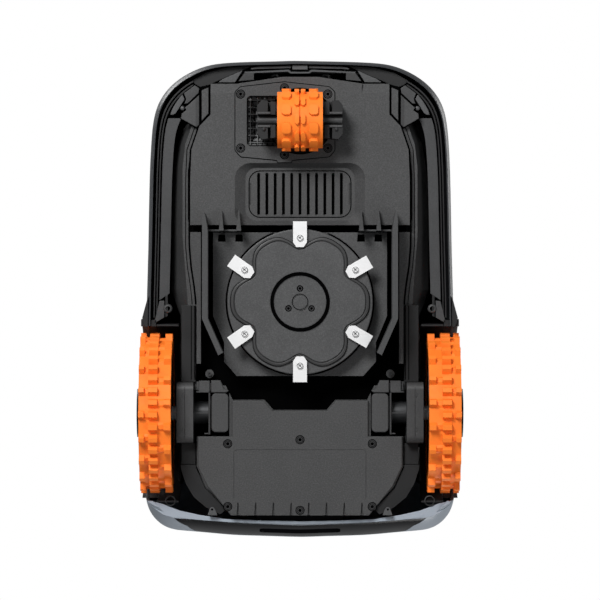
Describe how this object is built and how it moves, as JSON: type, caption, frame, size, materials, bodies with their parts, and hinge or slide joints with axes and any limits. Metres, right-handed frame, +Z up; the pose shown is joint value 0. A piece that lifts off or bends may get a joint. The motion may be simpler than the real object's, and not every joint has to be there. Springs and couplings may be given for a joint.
{
  "type": "robotic lawn mower",
  "caption": "Small-garden robotic mower with a floating cover, lugged rear drive wheels, a front swivel wheel and a razor-blade cutting disc under the belly.",
  "frame": {"origin": "on the ground under the middle of the machine, at the bottom centre of its bounding box", "axes": "+X across the machine, -Y towards the front (swivel wheel), +Y towards the charging socket, +Z up"},
  "size_m": [0.3696, 0.545, 0.2705],
  "materials": {
    "cover_dark": "charcoal, fine texture",
    "cover_light": "light blue-grey, satin",
    "black_gloss": "black, glossy",
    "black_plastic": "black, satin",
    "chassis_grey": "dark grey, fine texture",
    "rail_grey": "mid grey, satin",
    "guard_grey": "dark grey, satin",
    "disc_grey": "dark grey, satin",
    "tread_orange": "orange, matte",
    "steel": "brushed",
    "screw_steel": "black oxide",
    "motor_metal": "cast",
    "board_green": "lacquered board",
    "battery_case": "black",
    "glass_dark": "tinted, clear",
    "stop_red": "red, glossy",
    "key_grey": "grey, matte",
    "contact_metal": "bright"
  },
  "bodies": {
    "chassis": {"chassis_tub": "chassis_grey", "chassis_lid": "chassis_grey", "caster_plate": "chassis_grey", "vent_grille": "chassis_grey", "battery_cover": "chassis_grey", "battery_pack": "battery_case", "belly_screws": "screw_steel", "main_board": "board_green", "motor_frames": "guard_grey", "rear_struts": "black_plastic", "gearbox_left": "guard_grey", "gearbox_right": "guard_grey", "drive_motor_left": "motor_metal", "drive_motor_right": "motor_metal", "deck_tray": "disc_grey", "deck_guard_left": "guard_grey", "deck_guard_right": "guard_grey"},
    "cover": {"front_shell": "cover_dark", "tail_cover": "cover_light", "front_visor": "black_gloss", "camera_lenses": "glass_dark", "rear_panel": "black_gloss", "charging_contacts": "contact_metal", "bumper_lip": "black_plastic", "cover_rails": "rail_grey", "arch_trims": "black_plastic", "arch_liners": "black_plastic", "seam_backing": "black_plastic", "knob_well": "black_plastic", "stop_collar": "black_plastic", "control_panel": "black_plastic", "display_window": "glass_dark"},
    "stop_button": {"stop_button": "stop_red"},
    "height_knob": {"height_knob": "cover_dark"},
    "key_1": {"key_1": "key_grey"},
    "key_2": {"key_2": "key_grey"},
    "key_3": {"key_3": "key_grey"},
    "wheel_left": {"tyre_left": "tread_orange", "rim_left": "cover_dark", "hub_cap_left": "black_gloss", "wheel_axle_left": "steel"},
    "wheel_right": {"tyre_right": "tread_orange", "rim_right": "cover_dark", "hub_cap_right": "black_gloss", "wheel_axle_right": "steel"},
    "caster_fork": {"caster_yoke": "black_plastic", "caster_axle": "guard_grey"},
    "caster_wheel": {"caster_hub": "black_plastic", "caster_tyre": "tread_orange"},
    "cutting_unit": {"cutting_motor": "motor_metal"},
    "disc": {"cutting_disc": "disc_grey", "disc_screws": "screw_steel", "disc_spindle": "motor_metal", "blade_screws": "screw_steel"},
    "blade_1": {"blade_1": "steel"},
    "blade_2": {"blade_2": "steel"},
    "blade_3": {"blade_3": "steel"},
    "blade_4": {"blade_4": "steel"},
    "blade_5": {"blade_5": "steel"},
    "blade_6": {"blade_6": "steel"}
  },
  "joints": [
    {"name": "cover_bump", "type": "slide", "parent": "chassis", "child": "cover", "axis": [0, 1, 0], "range_m": [0, 0.004], "stiffness_N_per_m": 3000},
    {"name": "stop_press", "type": "slide", "parent": "cover", "child": "stop_button", "axis": [0, 0, -1], "range_m": [0, 0.004], "stiffness_N_per_m": 800, "springref_m": -0.002},
    {"name": "key_3_press", "type": "slide", "parent": "cover", "child": "key_3", "axis": [0, 0, -1], "range_m": [0, 0.001], "stiffness_N_per_m": 400, "springref_m": -0.002},
    {"name": "key_2_press", "type": "slide", "parent": "cover", "child": "key_2", "axis": [0, 0, -1], "range_m": [0, 0.001], "stiffness_N_per_m": 400, "springref_m": -0.002},
    {"name": "key_1_press", "type": "slide", "parent": "cover", "child": "key_1", "axis": [0, 0, -1], "range_m": [0, 0.001], "stiffness_N_per_m": 400, "springref_m": -0.002},
    {"name": "cutting_height", "type": "slide", "parent": "chassis", "child": "cutting_unit", "axis": [0, 0, 1], "range_m": [-0.02, 0.015]},
    {"name": "height_knob_turn", "type": "hinge", "parent": "chassis", "child": "height_knob", "pos_m": [0, 0.02, 0.25], "axis": [0, 0, 1], "range_deg": [-150, 112]},
    {"name": "wheel_left_spin", "type": "hinge", "parent": "chassis", "child": "wheel_left", "pos_m": [-0.16, 0.1284, 0.091], "axis": [1, 0, 0], "continuous": true},
    {"name": "wheel_right_spin", "type": "hinge", "parent": "chassis", "child": "wheel_right", "pos_m": [0.16, 0.1284, 0.091], "axis": [1, 0, 0], "continuous": true},
    {"name": "caster_swivel", "type": "hinge", "parent": "chassis", "child": "caster_fork", "pos_m": [0, -0.202, 0.09], "axis": [0, 0, 1], "continuous": true},
    {"name": "caster_wheel_spin", "type": "hinge", "parent": "caster_fork", "child": "caster_wheel", "pos_m": [0, -0.202, 0.0352], "axis": [1, 0, 0], "continuous": true},
    {"name": "disc_spin", "type": "hinge", "parent": "cutting_unit", "child": "disc", "pos_m": [0, 0.002, 0.052], "axis": [0, 0, 1], "continuous": true},
    {"name": "blade_1_pivot", "type": "hinge", "parent": "disc", "child": "blade_1", "pos_m": [0, -0.07, 0.0455], "axis": [0, 0, 1], "continuous": true},
    {"name": "blade_2_pivot", "type": "hinge", "parent": "disc", "child": "blade_2", "pos_m": [0.06235, -0.034, 0.0455], "axis": [0, 0, 1], "continuous": true},
    {"name": "blade_3_pivot", "type": "hinge", "parent": "disc", "child": "blade_3", "pos_m": [0.06235, 0.038, 0.0455], "axis": [0, 0, 1], "continuous": true},
    {"name": "blade_4_pivot", "type": "hinge", "parent": "disc", "child": "blade_4", "pos_m": [0, 0.074, 0.0455], "axis": [0, 0, 1], "continuous": true},
    {"name": "blade_5_pivot", "type": "hinge", "parent": "disc", "child": "blade_5", "pos_m": [-0.06235, 0.038, 0.0455], "axis": [0, 0, 1], "continuous": true},
    {"name": "blade_6_pivot", "type": "hinge", "parent": "disc", "child": "blade_6", "pos_m": [-0.06235, -0.034, 0.0455], "axis": [0, 0, 1], "continuous": true}
  ],
  "couplings": [
    {"joint": "height_knob_turn", "follows": "cutting_height", "rad_per_m": 130}
  ]
}
